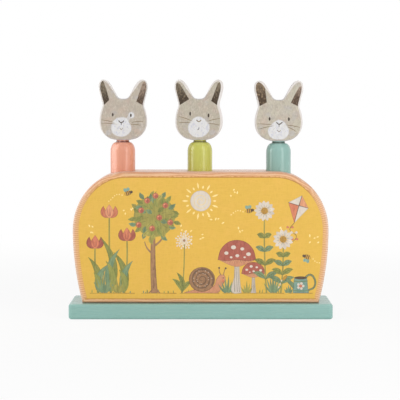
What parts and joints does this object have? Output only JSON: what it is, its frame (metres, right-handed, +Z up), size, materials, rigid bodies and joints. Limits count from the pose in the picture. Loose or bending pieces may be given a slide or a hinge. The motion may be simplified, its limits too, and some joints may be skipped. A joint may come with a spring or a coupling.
{
  "type": "pop-up toy",
  "caption": "Wooden pop-up toy: rabbit figures on round pegs spring up from a printed block on a base plate.",
  "frame": {"origin": "middle of the base plate's underside", "axes": "+X along the base plate, to the right as the printed front is seen; +Y to the back; +Z up along the pegs"},
  "size_m": [0.24, 0.07, 0.2176],
  "materials": {
    "base_paint": "satin blue-green paint on wood",
    "block_paint": "satin peach paint on wood",
    "face_print": "matt print on plywood, yellow field with a peach border",
    "left_peg_paint": "glossy coral paint on turned wood",
    "middle_peg_paint": "glossy lime paint on turned wood",
    "right_peg_paint": "glossy blue-green paint on turned wood",
    "head_print": "matt print on pale board",
    "bare_wood": "bare beech",
    "cap_plastic": "natural white nylon",
    "spring_steel": "drawn spring steel wire",
    "screw_steel": "zinc-plated steel"
  },
  "bodies": {
    "housing": {"base_plate": "base_paint", "block_core": "block_paint", "front_panel": "face_print", "back_panel": "face_print", "base_screw_left_front": "screw_steel", "base_screw_left_back": "screw_steel", "base_screw_right_front": "screw_steel", "base_screw_right_back": "screw_steel", "block_dowel_left": "bare_wood", "block_dowel_right": "bare_wood", "left_spring": "spring_steel", "middle_spring": "spring_steel", "right_spring": "spring_steel"},
    "left_slider": {"left_spring_cap": "cap_plastic"},
    "left_figure": {"left_peg": "left_peg_paint", "left_peg_foot": "bare_wood", "left_foot_screw": "screw_steel", "left_neck_dowel": "bare_wood", "left_head": "head_print"},
    "middle_slider": {"middle_spring_cap": "cap_plastic"},
    "middle_figure": {"middle_peg": "middle_peg_paint", "middle_peg_foot": "bare_wood", "middle_foot_screw": "screw_steel", "middle_neck_dowel": "bare_wood", "middle_head": "head_print"},
    "right_slider": {"right_spring_cap": "cap_plastic"},
    "right_figure": {"right_peg": "right_peg_paint", "right_peg_foot": "bare_wood", "right_foot_screw": "screw_steel", "right_neck_dowel": "bare_wood", "right_head": "head_print"}
  },
  "joints": [
    {"name": "left_press", "type": "slide", "parent": "housing", "child": "left_slider", "axis": [0, 0, 1], "range_m": [-0.0275, 0], "stiffness_N_per_m": 145, "springref_m": 0.01, "deforming": ["left_spring"]},
    {"name": "left_turn", "type": "hinge", "parent": "left_slider", "child": "left_figure", "pos_m": [-0.0718, 0, 0.1338], "axis": [0, 0, 1], "continuous": true},
    {"name": "middle_press", "type": "slide", "parent": "housing", "child": "middle_slider", "axis": [0, 0, 1], "range_m": [-0.0275, 0], "stiffness_N_per_m": 145, "springref_m": 0.01, "deforming": ["middle_spring"]},
    {"name": "middle_turn", "type": "hinge", "parent": "middle_slider", "child": "middle_figure", "pos_m": [-0.0007, 0, 0.1338], "axis": [0, 0, 1], "continuous": true},
    {"name": "right_press", "type": "slide", "parent": "housing", "child": "right_slider", "axis": [0, 0, 1], "range_m": [-0.0265, 0], "stiffness_N_per_m": 145, "springref_m": 0.01, "deforming": ["right_spring"]},
    {"name": "right_turn", "type": "hinge", "parent": "right_slider", "child": "right_figure", "pos_m": [0.0718, 0, 0.1338], "axis": [0, 0, 1], "continuous": true}
  ]
}
